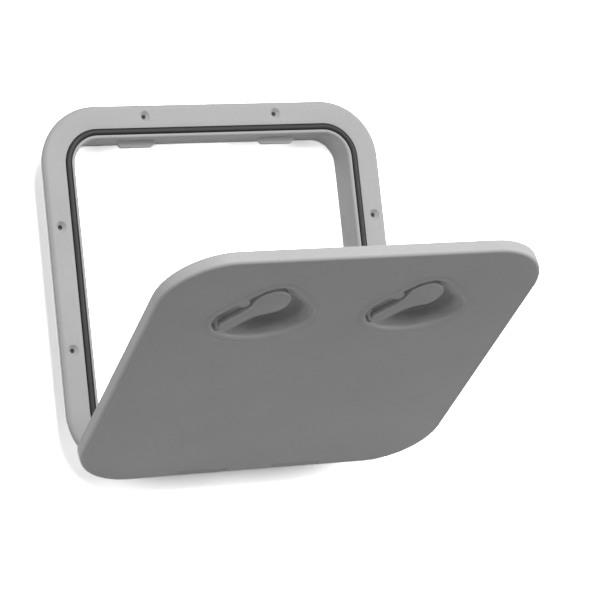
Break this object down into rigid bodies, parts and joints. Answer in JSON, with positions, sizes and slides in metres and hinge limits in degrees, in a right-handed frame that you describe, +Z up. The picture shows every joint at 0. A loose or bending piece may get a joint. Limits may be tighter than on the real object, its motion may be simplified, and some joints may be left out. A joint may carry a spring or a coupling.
{
  "type": "floor hatch",
  "caption": "Square moulded deck hatch with a sealed flange, a deep coaming and a hinged lid that is held shut by flush turning latches.",
  "frame": {"origin": "centre of the frame on the deck plane, which is the underside of the flange and the plane of both screw patterns", "axes": "+Z up out of the deck, +Y to the latch side, -Y to the hinge side, X along the hinge"},
  "size_m": [0.397, 0.3889, 0.398],
  "materials": {
    "frame_moulding": "fine grained light grey moulding",
    "lid_moulding": "fine grained light grey moulding",
    "latch_handle": "satin light grey moulding",
    "seal_rubber": "black rubber",
    "stainless": "turned stainless steel",
    "nylon": "natural nylon",
    "cam_plastic": "black glass-filled nylon"
  },
  "bodies": {
    "frame": {"frame": "frame_moulding", "frame_seal": "seal_rubber", "hinge_pin": "stainless"},
    "lid": {"lid": "lid_moulding", "hinge_plug_left": "lid_moulding", "hinge_plug_right": "lid_moulding", "spindle_seal_left": "seal_rubber", "spindle_seal_right": "seal_rubber"},
    "latch_left": {"handle_left": "latch_handle", "latch_spindle_left": "stainless", "thrust_washer_left": "nylon", "latch_cam_left": "cam_plastic", "cam_washer_left": "stainless", "cam_screw_left": "stainless"},
    "latch_right": {"handle_right": "latch_handle", "latch_spindle_right": "stainless", "thrust_washer_right": "nylon", "latch_cam_right": "cam_plastic", "cam_washer_right": "stainless", "cam_screw_right": "stainless"}
  },
  "joints": [
    {"name": "lid_hinge", "type": "hinge", "parent": "frame", "child": "lid", "pos_m": [0, -0.1915, 0.0083], "axis": [1, 0, 0], "range_deg": [-65.7, 29.3]},
    {"name": "latch_left_turn", "type": "hinge", "parent": "lid", "child": "latch_left", "pos_m": [-0.08, -0.06597, 0.30163], "axis": [0, -0.9114, 0.4115], "range_deg": [0, 90]},
    {"name": "latch_right_turn", "type": "hinge", "parent": "lid", "child": "latch_right", "pos_m": [0.08, -0.06597, 0.30163], "axis": [0, -0.9114, 0.4115], "range_deg": [0, 90]}
  ]
}
